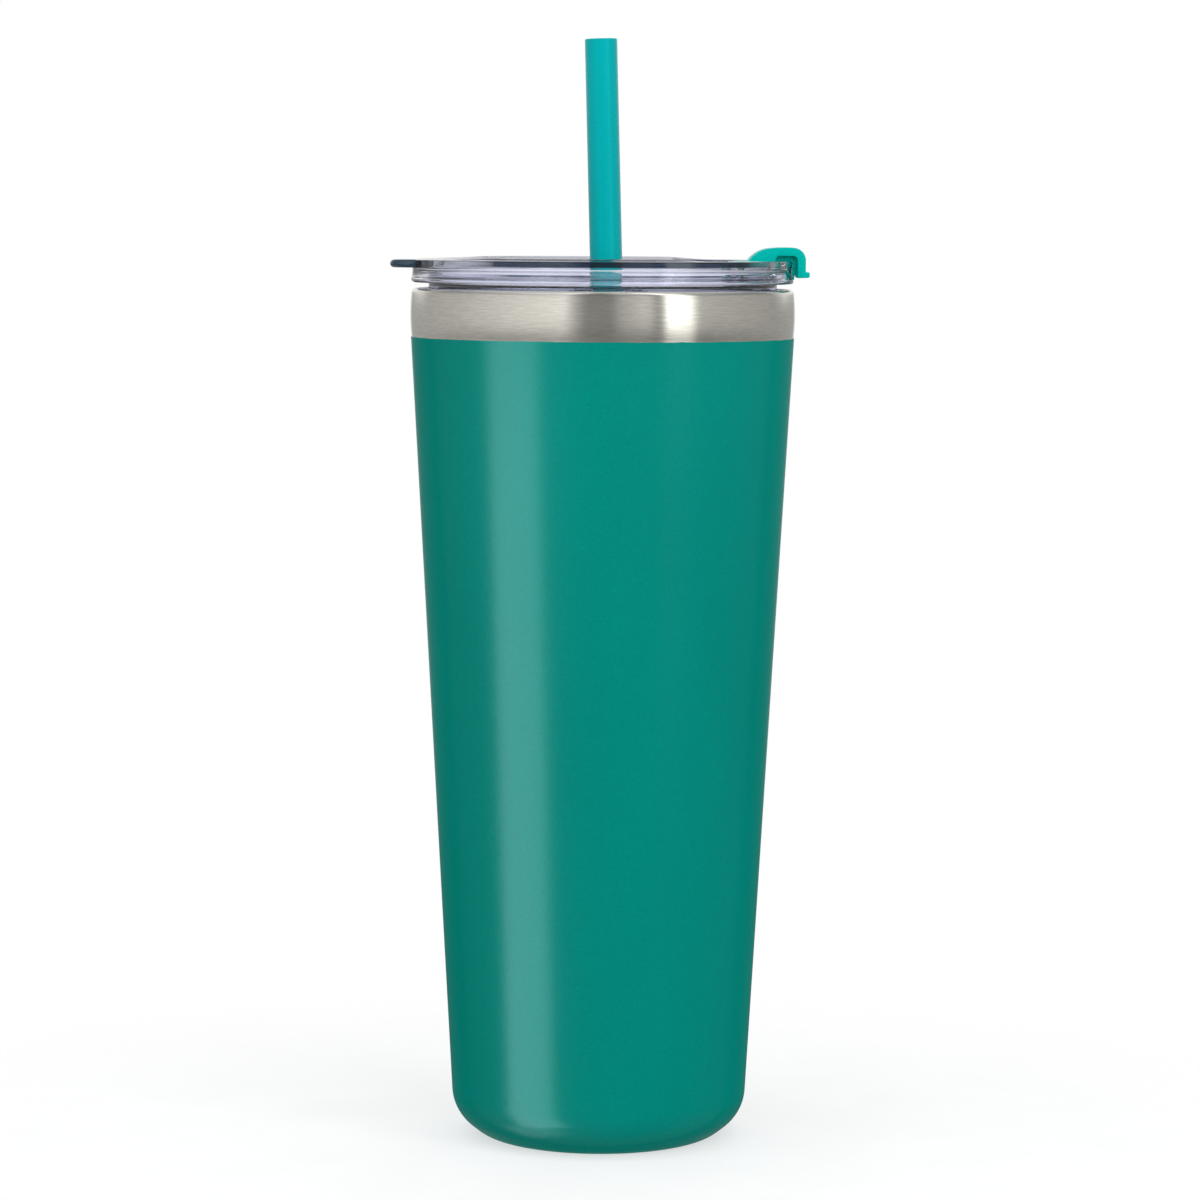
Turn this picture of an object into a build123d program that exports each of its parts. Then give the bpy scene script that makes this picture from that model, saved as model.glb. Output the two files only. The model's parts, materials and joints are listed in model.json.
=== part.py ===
from build123d import *
import math
import os

# Vacuum-insulated straw tumbler: a double-walled steel cup, a clear push-in lid with a
# flip cap over its sip hole, and a straw through the lid's middle.
# Millimetres. +Z is up, the origin is the centre of the base, +X points to the sip side.

# Cup walls
STEEL = 0.5  # sheet thickness of every pressed steel piece
COAT = 0.12  # thickness of the powder coat
TAPER = 0.0568  # radius gained per millimetre of height
BORDER_Z = 184.1  # top edge of the powder coat
BORDER_R = 43.63  # steel radius at that edge
BAND_Z = 189.4  # widest height of the bare steel band
BAND_R = 43.9
RIM_Z = 195.2  # top of the steel rim
RIM_R = 43.62  # where the band meets the rim's rounded edge
RIM_ROUND = 1.0
SEAM_R = 41.9  # weld between outer shell and inner vessel, on top of the rim
MOUTH_R = 40.3  # straight inner wall that takes the lid
MOUTH_ROUND = 0.9
STEP_Z = 187.0  # ledge that stops the lid
STEP_R = 39.2
FLOOR_Z = 13.0  # inside floor of the cup
FLOOR_R = 29.0
FLOOR_ROUND = 6.0

# Base
FOOT_R = 20.4  # inner edge of the foot ring
FOOT_ROUND = 0.6
FOOT_LIP_Z = 3.2
HEEL_LOW_R = 26.16  # the heel's two rounded corners, before rounding
HEEL_HIGH_Z = 5.75
HEEL_LOW_ROUND = 13.0
HEEL_HIGH_ROUND = 10.5
COAT_START_Z = 0.5
COVER_Z = 1.4  # underside of the base cover
PORT_Z = 5.4  # underside of the evacuation port's recess
PORT_R = 0.8
BULKHEAD_Z = 4.4  # underside of the vacuum base
BULKHEAD_R = 26.5
FLANGE_Z = (11.0, 13.0)  # weld flange of the vacuum base
GETTER_X = 14.0
GETTER_R = 5.0
GETTER_H = 2.2
CLIP_T = 0.3

# Radiation foil around the inner vessel
FOIL = 0.1
FOIL_Z = (25.0, 175.0)

# Lid
DISH_R = 38.3  # inside of the lid's sunk dish
DISH_Z = 195.8  # top of the dish floor
DISH_FLOOR = 1.5
NECK_R = 39.8  # outside of the dish wall and of the plug
PLUG_Z = 187.3  # bottom of the plug
PLUG_INNER_R = 37.2
GROOVE_R = 38.7  # floor of the gasket groove
GROOVE_Z = (189.1, 191.9)
CROWN_Z = 202.2  # highest ring of the lid's rim
LID_EDGE_R = 43.6
BEAD_R = 43.8  # bead along the skirt's lower edge
SKIRT_Z = 196.45  # lower edge of the skirt
SKIRT_INNER_R = 42.3
CHANNEL_Z = 199.9  # top of the channel between skirt and dish wall
TAB_X = 48.35  # reach of the lift tab
TAB_W = 19.0
TAB_Z = (199.8, 201.6)
VENT_X = -30.0
VENT_R = 1.0

# Sip hole, spout and notch
HOLE_X = (32.4, 37.0)
HOLE_W = 11.0
HOLE_ROUND = 1.5
SPOUT_WALL = 1.2
SPOUT_Z = 199.2  # top of the spout, flush with the notched rim
NOTCH_W = 14.4
NOTCH_X = 41.6  # the skirt is cut back to here behind the flip cap's tongue
LEDGE_Z = 197.0  # what the notch leaves of the lid's bead

# Flip cap and its hinge
HINGE_X = 29.3
HINGE_Z = 199.9
BARREL_R = 1.6
CAP_W = 14.0
PIN_R = 1.0
PIN_PLAY = 0.05
LUG_GAP = 0.3
LUG_T = 1.8
CAP_UNDER_Z = 200.2  # underside of the flip cap, which carries the seal pad
CAP_GAP = 0.3
CAP_X = 46.0  # outer face of the flip cap's leg
LEG_INNER_X = 44.1
LIP_X = 46.9  # reach of the thumb lip
WEB_X = 43.5  # outer face of the web below the leg
WEB_W = 9.2
PAD_GAP = 0.05
STEM_R = 1.2
STEM_H = 1.4
STEM_Y = 3.2

# Straw and its grommet
STRAW_R = 3.7
STRAW_BORE_R = 2.9
STRAW_X = 0.87  # where the straw's axis crosses the dish floor
STRAW_LEAN = 1.63  # degrees towards -X, going up
STRAW_TOP_Z = 251.8
STRAW_FOOT_Z = 13.5
GROMMET_BORE_R = 3.95
GROMMET_NECK_R = 5.2
GROMMET_R = 6.4
GROMMET_LIP = 0.8


def wall_r(z):
    """Outer radius of the steel wall at height z."""
    return BORDER_R - TAPER * (BORDER_Z - z)


def spin(outline):
    """Solid of revolution about Z of a closed outline drawn as (radius, height)."""
    return revolve(Plane.XZ * make_face(outline), Axis.Z)


def sheet(path, thickness, side):
    """Round pressed sheet: a path in (radius, height), thickened to one side and spun."""
    return spin(offset(path, thickness, side=side))


def ring(inner, outer, low, high):
    """Plain ring of rectangular section."""
    return spin(Polyline((inner, low), (outer, low), (outer, high), (inner, high), close=True))


def block(x, y, z):
    """Box between two limits along each axis."""
    size = [high - low for low, high in (x, y, z)]
    return Pos(x[0], y[0], z[0]) * Box(*size, align=(Align.MIN, Align.MIN, Align.MIN))


def plate(face, low, high):
    """Upright prism of a plan drawn on XY."""
    return Pos(0, 0, low) * extrude(face, high - low)


def slab(outline, width):
    """Prism of a closed side outline (x, height), centred on y = 0."""
    return extrude(Plane.XZ * make_face(outline), width / 2, both=True)


def join(*pieces):
    """One wire through edges that meet end to end."""
    return Wire([edge for piece in pieces for edge in piece.edges()])


def wall_path():
    """Outer face of the steel from the foot's inner lip, round the heel, to the coat's edge."""
    points = [
        (FOOT_R, FOOT_LIP_Z),
        (FOOT_R, 0),
        (HEEL_LOW_R, 0),
        (wall_r(HEEL_HIGH_Z), HEEL_HIGH_Z),
        (BORDER_R, BORDER_Z),
    ]
    return FilletPolyline(*points, radius=[FOOT_ROUND, HEEL_LOW_ROUND, HEEL_HIGH_ROUND])


def outer_shell():
    band = ThreePointArc((BORDER_R, BORDER_Z), (BAND_R, BAND_Z), (RIM_R, RIM_Z - RIM_ROUND))
    corner = RadiusArc((RIM_R, RIM_Z - RIM_ROUND), (RIM_R - RIM_ROUND, RIM_Z), -RIM_ROUND)
    top = Line((RIM_R - RIM_ROUND, RIM_Z), (SEAM_R, RIM_Z))
    return sheet(join(wall_path(), band, corner, top), STEEL, Side.LEFT)


def powder_coat():
    skin = sheet(wall_path(), COAT, Side.RIGHT)
    skin -= Cylinder(FOOT_R + FOOT_ROUND, 3 * FOOT_LIP_Z)
    return split(skin, Plane.XY.offset(COAT_START_Z), keep=Keep.TOP)


def vessel_r(z):
    """Inner radius of the vessel's tapered wall at height z."""
    return FLOOR_R + (STEP_R - FLOOR_R) * (z - FLOOR_Z) / (STEP_Z - FLOOR_Z)


def inner_vessel():
    step_low = STEP_Z - (MOUTH_R - STEP_R) / 2
    path = FilletPolyline(
        (0, FLOOR_Z),
        (FLOOR_R, FLOOR_Z),
        (vessel_r(step_low), step_low),
        (MOUTH_R, STEP_Z),
        (MOUTH_R, RIM_Z),
        (SEAM_R, RIM_Z),
        radius=[FLOOR_ROUND, 0.8, 0.4, MOUTH_ROUND],
    )
    return sheet(path, STEEL, Side.RIGHT)


def radiation_foil():
    """Foil laid on the outside of the vessel's tapered wall."""
    slope = (STEP_R - FLOOR_R) / (STEP_Z - FLOOR_Z)
    wall = STEEL * math.hypot(1, slope)
    return sheet(Line(*[(vessel_r(z) + wall, z) for z in FOIL_Z]), FOIL, Side.RIGHT)


def vacuum_base():
    flange_r = [wall_r(z) - STEEL * math.hypot(1, TAPER) for z in FLANGE_Z]
    path = FilletPolyline(
        (PORT_R, PORT_Z),
        (5.5, PORT_Z),
        (6.5, BULKHEAD_Z),
        (BULKHEAD_R, BULKHEAD_Z),
        (flange_r[0], FLANGE_Z[0]),
        (flange_r[1], FLANGE_Z[1]),
        radius=[0.8, 0.8, 3.0, 1.2],
    )
    return sheet(path, STEEL, Side.LEFT)


def vacuum_solder():
    """Bead of solder glass that fills and caps the evacuation port."""
    bead_r, bead_h = 2.4, 0.8
    low = PORT_Z - bead_h
    stem = Polyline((0, low), (0, PORT_Z + STEEL), (PORT_R, PORT_Z + STEEL), (PORT_R, PORT_Z))
    shoulder = Line((PORT_R, PORT_Z), (bead_r, PORT_Z))
    dome = RadiusArc((bead_r, PORT_Z), (0, low), (bead_r**2 + bead_h**2) / (2 * bead_h))
    return spin(join(stem, shoulder, dome))


def getter_clip():
    """Small tray with four bent-over fingers, welded to the vacuum base."""
    floor_z = BULKHEAD_Z + STEEL
    top_z = floor_z + CLIP_T + GETTER_H
    tray = ring(0, GETTER_R + CLIP_T, floor_z, floor_z + CLIP_T)
    wall = ring(GETTER_R, GETTER_R + CLIP_T, floor_z, top_z)
    lip = ring(GETTER_R - 0.8, GETTER_R + CLIP_T, top_z, top_z + CLIP_T)
    fingers = wall + lip
    for angle in (0, 90):
        slot = Box(4 * GETTER_R, 5, 2 * GETTER_H, align=(Align.CENTER, Align.CENTER, Align.MIN))
        fingers -= Pos(0, 0, floor_z + CLIP_T) * Rot(0, 0, angle) * slot
    return Pos(GETTER_X, 0, 0) * (tray + fingers)


def getter_pellet():
    floor_z = BULKHEAD_Z + STEEL + CLIP_T
    return Pos(GETTER_X, 0, 0) * ring(0, GETTER_R, floor_z, floor_z + GETTER_H)


def base_cover():
    path = FilletPolyline(
        (0, COVER_Z),
        (FOOT_R, COVER_Z),
        (FOOT_R, FOOT_LIP_Z),
        radius=0.9,
    )
    return sheet(path, STEEL, Side.LEFT)


def lid_ring():
    """Dish floor, dish wall, crowned rim, skirt and plug, before the spout is cut."""
    crown_in = (DISH_R, CROWN_Z - 0.7)
    crown_out = (LID_EDGE_R - 0.5, CROWN_Z - 0.5)
    waist_top = (LID_EDGE_R - 0.15, TAB_Z[0] + 0.5)
    bead_top = (BEAD_R - 0.2, SKIRT_Z + 1.3)
    dish = FilletPolyline((0, DISH_Z), (DISH_R, DISH_Z), crown_in, radius=0.8)
    crown = ThreePointArc(crown_in, (DISH_R + 2.1, CROWN_Z), crown_out)
    edge = ThreePointArc(crown_out, (LID_EDGE_R, CROWN_Z - 1.1), waist_top)
    waist = Line(waist_top, bead_top)
    bead = ThreePointArc(bead_top, (BEAD_R, SKIRT_Z + 0.7), (BEAD_R - 0.5, SKIRT_Z))
    foot = Line((BEAD_R - 0.5, SKIRT_Z), (SKIRT_INNER_R + 0.2, SKIRT_Z))
    channel = FilletPolyline(
        (SKIRT_INNER_R + 0.2, SKIRT_Z),
        (SKIRT_INNER_R, CHANNEL_Z),
        (NECK_R, CHANNEL_Z),
        (NECK_R, GROOVE_Z[1]),
        radius=[0.8, 0.8],
    )
    plug = Polyline(
        (NECK_R, GROOVE_Z[1]),
        (GROOVE_R, GROOVE_Z[1]),
        (GROOVE_R, GROOVE_Z[0]),
        (NECK_R, GROOVE_Z[0]),
        (NECK_R, PLUG_Z + 0.6),
        (NECK_R - 0.5, PLUG_Z),
        (PLUG_INNER_R, PLUG_Z),
        (PLUG_INNER_R, DISH_Z - DISH_FLOOR),
        (0, DISH_Z - DISH_FLOOR),
        (0, DISH_Z),
    )
    return spin(join(dish, crown, edge, waist, bead, foot, channel, plug))


def lift_tab():
    """Flat thumb tab opposite the spout, with full round edges."""
    plan = Pos(-TAB_X + 10, 0) * RectangleRounded(20, TAB_W, 4.5) - Circle(LID_EDGE_R - 0.9)
    plan = plan & Pos(-TAB_X, 0) * Rectangle(2 * (TAB_X - 38), 2 * TAB_W)
    tab = plate(plan, *TAB_Z)
    rims = [edge for z in TAB_Z for edge in tab.edges().filter_by_position(Axis.Z, z, z)]
    return fillet(rims, (TAB_Z[1] - TAB_Z[0]) / 2 - 0.05)


def spout_plan(grow):
    """Plan of the sip hole, grown outwards on every side."""
    middle = sum(HOLE_X) / 2
    length = HOLE_X[1] - HOLE_X[0] + 2 * grow
    return Pos(middle, 0) * RectangleRounded(length, HOLE_W + 2 * grow, HOLE_ROUND + grow)


def hinge_lug(side):
    """One of the two ears that hold the hinge pin, on the +Y or the -Y side."""
    near = CAP_W / 2 + LUG_GAP
    ear = block(
        (HINGE_X - BARREL_R, HINGE_X + BARREL_R),
        (near, near + LUG_T),
        (DISH_Z - 0.2, HINGE_Z),
    )
    top = Pos(HINGE_X, near + LUG_T / 2, HINGE_Z) * Rot(90, 0, 0) * Cylinder(BARREL_R, LUG_T)
    whole = ear + top
    return whole if side > 0 else mirror(whole, about=Plane.XZ)


def lid_body():
    half_notch = NOTCH_W / 2
    half_spout = HOLE_W / 2 + SPOUT_WALL
    body = lid_ring() + lift_tab()
    body += plate(spout_plan(SPOUT_WALL), DISH_Z - 0.2, SPOUT_Z)
    spout_root = (sum(HOLE_X) / 2, DISH_R + 0.7)
    body += block(spout_root, (-half_spout, half_spout), (DISH_Z - 0.2, SPOUT_Z))
    bridge = ring(DISH_R, SKIRT_INNER_R + 0.3, SKIRT_Z, CHANNEL_Z + 0.2)
    body += bridge & block((30, 50), (-half_notch - 1.2, half_notch + 1.2), (190, 210))
    across = (-half_notch, half_notch)
    body -= block((HOLE_X[1] + 0.2, 60), across, (SPOUT_Z, 210))
    body -= block((NOTCH_X, 60), across, (LEDGE_Z, 210))
    body -= plate(spout_plan(0), DISH_Z - 3, SPOUT_Z + 1)
    for side in (1, -1):
        body += hinge_lug(side)
    body -= Pos(HINGE_X, 0, HINGE_Z) * Rot(90, 0, 0) * Cylinder(PIN_R, 3 * CAP_W)
    body -= Pos(STRAW_X, 0, DISH_Z) * Cylinder(GROMMET_NECK_R, 4 * DISH_FLOOR)
    body -= Pos(VENT_X, 0, DISH_Z) * Cylinder(VENT_R, 4 * DISH_FLOOR)
    return body


def lid_gasket():
    """Silicone ring in the plug's groove, with two wiping lips."""
    low, high = GROOVE_Z
    lip_r = MOUTH_R - 0.1
    root_r = NECK_R + 0.05
    middle = (low + high) / 2
    lip = (high - low) / 4
    outline = Polyline(
        (GROOVE_R, low),
        (root_r, low),
        (lip_r, low + lip),
        (root_r, middle),
        (lip_r, middle + lip),
        (root_r, high),
        (GROOVE_R, high),
        close=True,
    )
    return spin(outline)


def cap_outline():
    """Side outline of the flip cap: hinge arm, arched top, outer leg and thumb lip."""
    arm = Polyline((HINGE_X, CAP_UNDER_Z), (HINGE_X, HINGE_Z + BARREL_R), (33.0, 201.7))
    brow = ThreePointArc((33.0, 201.7), (34.8, 203.45), (37.4, 204.5))
    roof = Polyline((37.4, 204.5), (39.6, 204.75), (43.2, 204.7))
    shoulder = ThreePointArc((43.2, 204.7), (45.2, 203.85), (CAP_X, 201.6))
    leg = Polyline(
        (CAP_X, 201.6),
        (CAP_X, 199.2),
        (LIP_X, 199.2),
        (LIP_X, 198.2),
        (LIP_X - 0.3, 197.95),
        (LEG_INNER_X, 197.85),
        (LEG_INNER_X, 202.1),
        (LEG_INNER_X - 0.7, 202.75),
        (39.8, 202.8),
        (39.0, 202.0),
        (38.7, CAP_UNDER_Z),
        (HINGE_X, CAP_UNDER_Z),
    )
    return join(arm, brow, roof, shoulder, leg)


def cap_web():
    """Inner web of the flip cap: fills the arch and reaches down outside the notched rim."""
    land_z = SPOUT_Z + CAP_GAP
    return Polyline(
        (38.4, land_z),
        (NOTCH_X + CAP_GAP, land_z),
        (NOTCH_X + CAP_GAP, LEDGE_Z + CAP_GAP),
        (WEB_X, LEDGE_Z + CAP_GAP),
        (WEB_X, 198.4),
        (LEG_INNER_X + 0.3, 198.4),
        (LEG_INNER_X + 0.3, 203.2),
        (38.4, 203.2),
        close=True,
    )


def stems(radius):
    """The two stems that hold the seal pad in the flip cap."""
    peg = Cylinder(radius, STEM_H, align=(Align.CENTER, Align.CENTER, Align.MIN))
    middle = sum(HOLE_X) / 2
    return [Pos(middle, y, CAP_UNDER_Z) * peg for y in (-STEM_Y, STEM_Y)]


def flip_cap():
    across = Rot(90, 0, 0)
    shell = slab(cap_outline(), CAP_W)
    edges = shell.edges().filter_by(GeomType.CIRCLE)
    shell = fillet(edges, 0.4)
    cap = shell + slab(cap_web(), WEB_W)
    cap += Pos(HINGE_X, 0, HINGE_Z) * across * Cylinder(BARREL_R, CAP_W)
    cap -= Pos(HINGE_X, 0, HINGE_Z) * across * Cylinder(PIN_R + PIN_PLAY, 2 * CAP_W)
    for peg in stems(STEM_R):
        cap -= peg
    return cap


def hinge_pin():
    length = CAP_W + 2 * (LUG_GAP + LUG_T)
    return Pos(HINGE_X, 0, HINGE_Z) * Rot(90, 0, 0) * Cylinder(PIN_R, length)


def spout_seal():
    """Silicone pad under the flip cap, resting on the spout."""
    pad = plate(spout_plan(SPOUT_WALL - 0.3), SPOUT_Z + PAD_GAP, CAP_UNDER_Z)
    for peg in stems(STEM_R):
        pad += peg
    return pad


def straw_seal():
    """Silicone grommet snapped into the dish floor around the straw."""
    low = DISH_Z - DISH_FLOOR
    outline = Polyline(
        (GROMMET_BORE_R, low - GROMMET_LIP),
        (GROMMET_R, low - GROMMET_LIP),
        (GROMMET_R, low),
        (GROMMET_NECK_R, low),
        (GROMMET_NECK_R, DISH_Z),
        (GROMMET_R, DISH_Z),
        (GROMMET_R, DISH_Z + GROMMET_LIP),
        (GROMMET_BORE_R, DISH_Z + GROMMET_LIP),
        close=True,
    )
    return Pos(STRAW_X, 0, 0) * spin(outline)


def straw():
    """Straight tube, leaning so that its foot stands off the cup's middle."""
    lean = math.radians(STRAW_LEAN)
    length = (STRAW_TOP_Z - STRAW_FOOT_Z) / math.cos(lean)
    foot_x = STRAW_X + (DISH_Z - STRAW_FOOT_Z) * math.tan(lean)
    tube = ring(STRAW_BORE_R, STRAW_R, 0, length)
    ends = tube.edges().filter_by(GeomType.CIRCLE)
    return Pos(foot_x, 0, STRAW_FOOT_Z) * Rot(0, -STRAW_LEAN, 0) * fillet(ends, 0.25)


PIECES = {
    "outer_shell": outer_shell,
    "powder_coat": powder_coat,
    "inner_vessel": inner_vessel,
    "radiation_foil": radiation_foil,
    "vacuum_base": vacuum_base,
    "vacuum_solder": vacuum_solder,
    "getter_clip": getter_clip,
    "getter_pellet": getter_pellet,
    "base_cover": base_cover,
    "lid_body": lid_body,
    "lid_gasket": lid_gasket,
    "flip_cap": flip_cap,
    "hinge_pin": hinge_pin,
    "spout_seal": spout_seal,
    "straw_seal": straw_seal,
    "straw": straw,
}

os.makedirs("parts", exist_ok=True)
for node, make in PIECES.items():
    export_step(make(), f"parts/{node}.step")
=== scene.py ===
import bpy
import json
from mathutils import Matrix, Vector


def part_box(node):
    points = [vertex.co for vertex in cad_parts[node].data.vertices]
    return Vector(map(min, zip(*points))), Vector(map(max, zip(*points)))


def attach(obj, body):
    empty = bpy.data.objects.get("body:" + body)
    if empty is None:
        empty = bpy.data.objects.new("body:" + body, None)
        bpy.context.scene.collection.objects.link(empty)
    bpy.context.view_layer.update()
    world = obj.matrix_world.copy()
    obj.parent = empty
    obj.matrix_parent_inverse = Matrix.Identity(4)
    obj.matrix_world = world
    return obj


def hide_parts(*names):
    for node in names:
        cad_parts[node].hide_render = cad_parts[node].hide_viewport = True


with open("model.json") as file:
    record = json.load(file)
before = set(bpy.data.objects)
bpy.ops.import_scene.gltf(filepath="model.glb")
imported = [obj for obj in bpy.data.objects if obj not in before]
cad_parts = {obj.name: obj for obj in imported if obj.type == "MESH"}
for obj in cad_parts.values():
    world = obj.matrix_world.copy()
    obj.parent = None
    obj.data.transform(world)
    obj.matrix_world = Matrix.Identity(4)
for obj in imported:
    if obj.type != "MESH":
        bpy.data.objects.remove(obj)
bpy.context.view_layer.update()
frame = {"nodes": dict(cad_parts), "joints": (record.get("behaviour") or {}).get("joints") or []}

import json
import math

import bmesh
import bpy
from mathutils import Matrix, Vector, noise

# Looks of a vacuum-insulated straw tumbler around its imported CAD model.
# Profiles are in millimetres, as (radius, height); objects are in metres.

MM = 0.001
SEGMENTS = 288  # columns of a lathed piece


def low(node):
    """Lowest corner of a CAD node, in millimetres."""
    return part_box(node)[0] / MM


def high(node):
    """Highest corner of a CAD node, in millimetres."""
    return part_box(node)[1] / MM


# ---------------------------------------------------------------- sizes, in mm

# Cup
STEEL = 0.5  # sheet thickness of the pressed steel pieces
COAT = 0.12  # thickness of the powder coat
TAPER = 0.0568  # radius gained per millimetre of height
BORDER_Z = high("powder_coat").z  # upper edge of the coat
BORDER_R = 43.63  # steel radius there
RIM_Z = high("outer_shell").z
RIM_ROUND = 1.0
BAND_Z = RIM_Z - 5.8  # widest height of the bare steel band
BAND_R = 43.9
SEAM_R = 41.9  # weld between the two walls, on top of the rim
MOUTH_R = 40.3
STEP_Z = RIM_Z - 8.2  # ledge that stops the lid
STEP_R = 39.17
FLOOR_R = 29.0  # inside floor of the cup
FOOT_R = high("base_cover").x  # inner edge of the foot ring
COVER_Z = low("base_cover").z
HEEL_LOW_R = 26.16  # the heel's two corners before rounding, and their radii
HEEL_LOW_ROUND = 13.0
HEEL_HIGH_Z = 5.75
HEEL_HIGH_ROUND = 10.5
HEEL_TOP_Z = 30.0  # straight wall above this

# Lid
CROWN_Z = high("lid_body").z  # highest ring of the rim
LID_EDGE_R = 43.6
BEAD_R = high("lid_body").x  # bead along the skirt's lower edge
SKIRT_Z = CROWN_Z - 5.75  # lower edge of the skirt
SKIRT_INNER_R = 42.3
CHANNEL_Z = SKIRT_Z + 3.45  # top of the channel between skirt and dish wall
NECK_R = 39.8  # outside of the dish wall and of the plug
DISH_R = 38.3
DISH_Z = CROWN_Z - 6.4  # top of the dish floor
DISH_FLOOR = 1.5
PLUG_Z = low("lid_body").z
PLUG_INNER_R = 37.2
GROOVE_R = 38.7  # floor of the gasket groove
GROOVE_Z = (low("lid_gasket").z, high("lid_gasket").z)
TAB_Z = (CROWN_Z - 2.4, CROWN_Z - 0.6)
TAB_X = -low("lid_body").x
TAB_HALF = 9.5
TAB_ROUND = 4.5
VENT_X = -30.0
VENT_R = 1.0
GROMMET_R = 5.2  # hole that holds the straw's grommet

# Sip hole, spout and notch
HOLE_X = (32.4, 37.0)
HOLE_HALF = 5.5
HOLE_ROUND = 1.5
SPOUT_WALL = 1.2
SPOUT_Z = CROWN_Z - 3.0  # top of the spout, level with the notched rim
NOTCH_HALF = 7.2
NOTCH_X = 41.6
LEDGE_Z = CROWN_Z - 5.2  # what the notch leaves of the bead

# Flip cap and its hinge
HINGE = (low("hinge_pin") + high("hinge_pin")) / 2
PIN_R = (high("hinge_pin").x - low("hinge_pin").x) / 2
PIN_PLAY = 0.05
BARREL_R = 1.6
CAP_HALF = high("flip_cap").y
CAP_GAP = 0.3
LUG_GAP = 0.3
LUG_T = high("hinge_pin").y - CAP_HALF - LUG_GAP
PAD_T = 0.95  # seal pad below the cap
LEG_BACK = 2.8  # inner face of the cap's leg, behind the tip of its lip
WEB_HALF = 4.6

# Straw
STRAW_WALL = 0.8


# ---------------------------------------------------------------- profiles


def arc(a, middle, b, steps):
    """Points along the circle through three points, both ends included."""
    ax, ay, mx, my, bx, by = *a, *middle, *b
    d = 2 * (ax * (my - by) + mx * (by - ay) + bx * (ay - my))
    sa, sm, sb = ax * ax + ay * ay, mx * mx + my * my, bx * bx + by * by
    cx = (sa * (my - by) + sm * (by - ay) + sb * (ay - my)) / d
    cy = (sa * (bx - mx) + sm * (ax - bx) + sb * (mx - ax)) / d
    radius = math.hypot(ax - cx, ay - cy)
    start, mid, end = (math.atan2(y - cy, x - cx) for x, y in (a, middle, b))
    turn = (end - start) % math.tau
    if (mid - start) % math.tau > turn:
        turn -= math.tau
    angles = [start + turn * i / steps for i in range(steps + 1)]
    return [(cx + radius * math.cos(t), cy + radius * math.sin(t)) for t in angles]


def rounded(points, closed=False, steps=6):
    """Outline whose points are (x, y, corner radius): each corner becomes an arc."""
    made = []
    count = len(points)
    for i, (x, y, radius) in enumerate(points):
        if radius == 0 or (not closed and i in (0, count - 1)):
            made.append((x, y))
            continue
        here = Vector((x, y))
        before = Vector(points[i - 1][:2]) - here
        after = Vector(points[(i + 1) % count][:2]) - here
        half = before.angle(after) / 2
        reach = min(radius / math.tan(half), 0.499 * before.length, 0.499 * after.length)
        real = reach * math.tan(half)
        centre = here + (before.normalized() + after.normalized()).normalized() * (
            real / math.sin(half)
        )
        first = here + before.normalized() * reach
        last = here + after.normalized() * reach
        middle = centre + (here - centre).normalized() * real
        made += arc(first[:], middle[:], last[:], steps)
    return made


def thickened(path, thickness):
    """Closed outline of a sheet: the path and its copy moved to its left by the thickness."""
    moved = []
    for i, (x, y) in enumerate(path):
        x0, y0 = path[max(i - 1, 0)]
        x1, y1 = path[min(i + 1, len(path) - 1)]
        length = math.hypot(x1 - x0, y1 - y0)
        moved.append((x - (y1 - y0) / length * thickness, y + (x1 - x0) / length * thickness))
    return list(path) + moved[::-1]


def closed_on_axis(outline):
    """The same outline with the points that are nearly on the axis put on it."""
    return [(0.0, z) if abs(r) < 0.02 else (r, z) for r, z in outline]


def dense(path, step):
    """The same open path with no stretch longer than step."""
    made = [path[0]]
    for (x0, y0), (x1, y1) in zip(path, path[1:]):
        count = max(1, math.ceil(math.hypot(x1 - x0, y1 - y0) / step))
        for i in range(1, count + 1):
            made.append((x0 + (x1 - x0) * i / count, y0 + (y1 - y0) * i / count))
    return made


def resampled(path, count):
    """The same open path drawn with this many equal steps."""
    lengths = [math.dist(a, b) for a, b in zip(path, path[1:])]
    total = sum(lengths)
    made = [path[0]]
    for i in range(1, count):
        left = total * i / count
        for (a, b), length in zip(zip(path, path[1:]), lengths):
            if left <= length:
                share = left / length
                made.append((a[0] + (b[0] - a[0]) * share, a[1] + (b[1] - a[1]) * share))
                break
            left -= length
    return made + [path[-1]]


def wall_r(z):
    """Outer radius of the steel wall below the coat's edge."""
    return BORDER_R - TAPER * (BORDER_Z - z)


# ---------------------------------------------------------------- mesh making


def add_object(name, verts, faces, material, smooth_angle=None):
    """Mesh object from points in millimetres, with outward normals and smooth shading."""
    mesh = bpy.data.meshes.new(name)
    mesh.from_pydata([(x * MM, y * MM, z * MM) for x, y, z in verts], [], faces)
    shaped = bmesh.new()
    shaped.from_mesh(mesh)
    bmesh.ops.recalc_face_normals(shaped, faces=shaped.faces)
    shaped.to_mesh(mesh)
    shaped.free()
    mesh.shade_smooth()
    if smooth_angle:
        mesh.set_sharp_from_angle(angle=math.radians(smooth_angle))
    mesh.materials.append(material)
    piece = bpy.data.objects.new(name, mesh)
    bpy.context.scene.collection.objects.link(piece)
    return piece


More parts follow.
